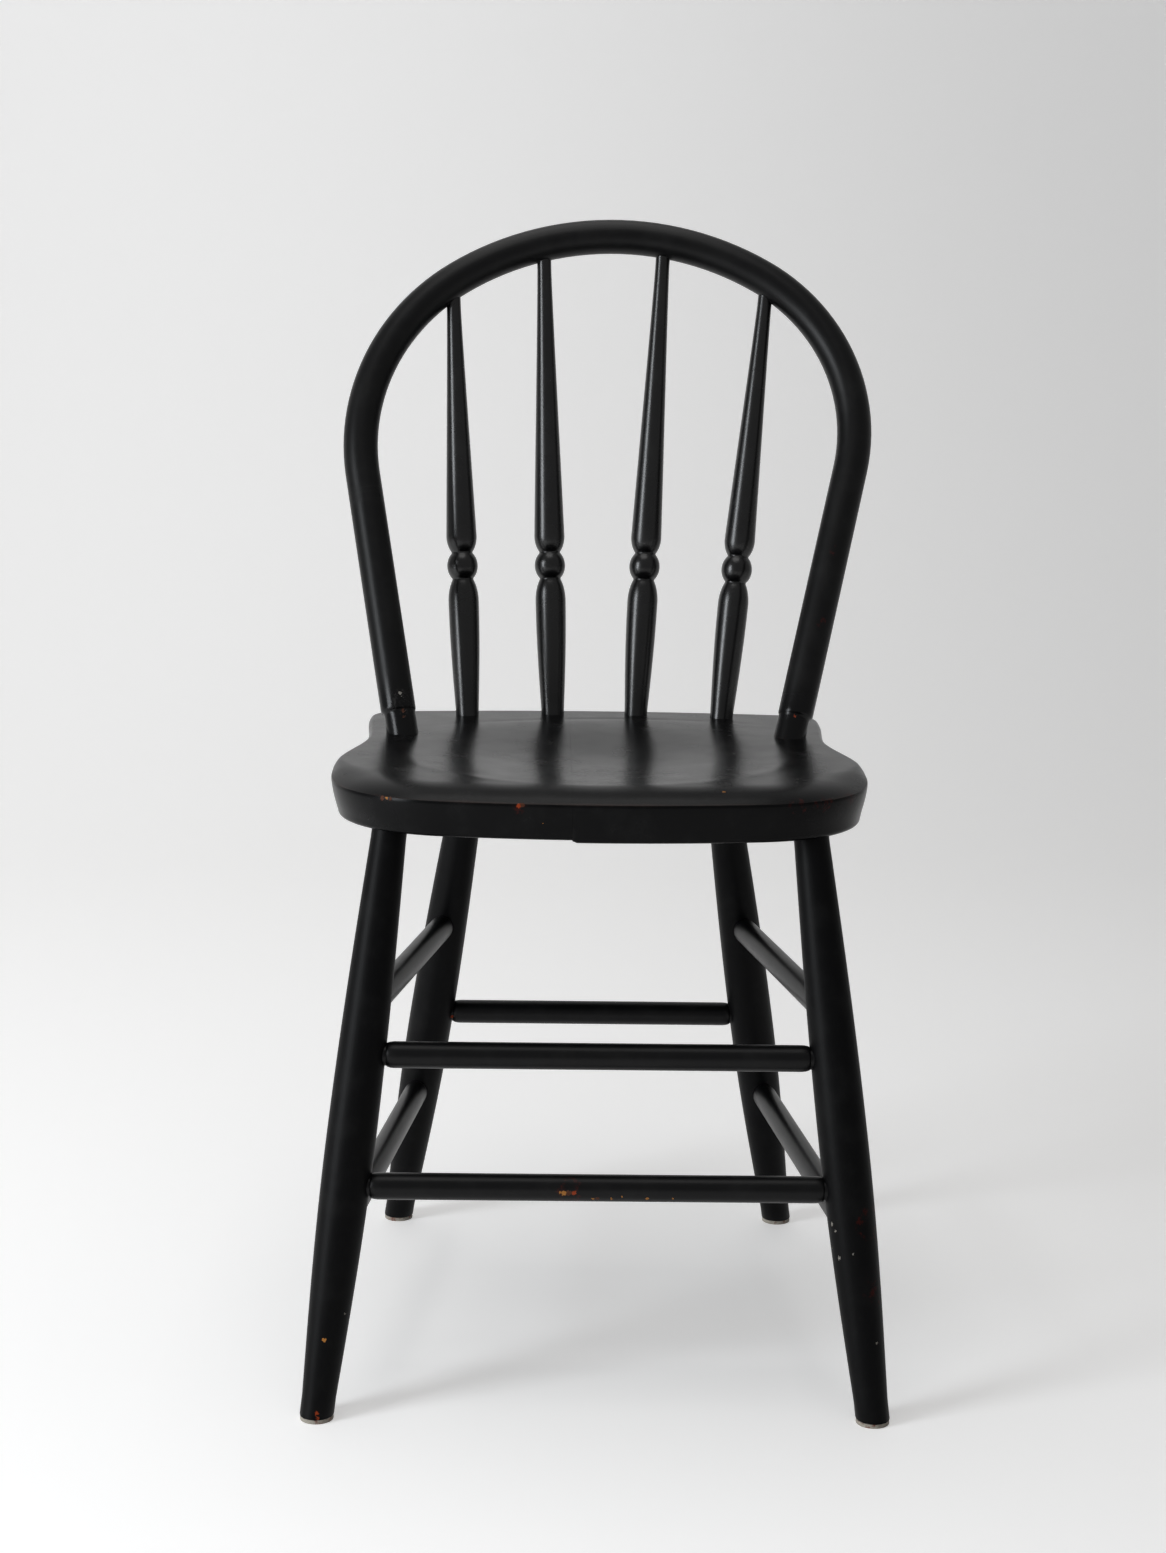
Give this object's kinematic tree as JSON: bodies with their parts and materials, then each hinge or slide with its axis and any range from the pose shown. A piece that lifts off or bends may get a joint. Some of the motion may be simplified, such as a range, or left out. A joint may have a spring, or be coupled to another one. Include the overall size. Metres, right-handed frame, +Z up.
{
  "type": "bow-back wooden side chair",
  "caption": "Wooden side chair with a bent bow back, turned spindles and splayed legs joined by stretchers, in worn black paint.",
  "frame": {"origin": "on the floor, below the middle of the chair's outline seen from above", "axes": "+Z up, the front of the seat faces -Y, +X to the right of someone looking at the front"},
  "size_m": [0.4404, 0.5233, 0.8604],
  "materials": {
    "painted_seat": "satin black paint, worn along the edges",
    "painted_frame": "satin black paint with small chips to red undercoat and wood",
    "felt": "pale felt, soiled at the rim"
  },
  "bodies": {
    "root": {"seat_left_board": "painted_seat", "seat_right_board": "painted_seat", "bow": "painted_frame", "spindle_1": "painted_frame", "spindle_2": "painted_frame", "spindle_3": "painted_frame", "spindle_4": "painted_frame", "front_left_leg": "painted_frame", "front_right_leg": "painted_frame", "rear_left_leg": "painted_frame", "rear_right_leg": "painted_frame", "front_upper_stretcher": "painted_frame", "front_lower_stretcher": "painted_frame", "rear_stretcher": "painted_frame", "left_upper_stretcher": "painted_frame", "left_lower_stretcher": "painted_frame", "right_upper_stretcher": "painted_frame", "right_lower_stretcher": "painted_frame", "front_left_pad": "felt", "front_right_pad": "felt", "rear_left_pad": "felt", "rear_right_pad": "felt"}
  },
  "joints": []
}
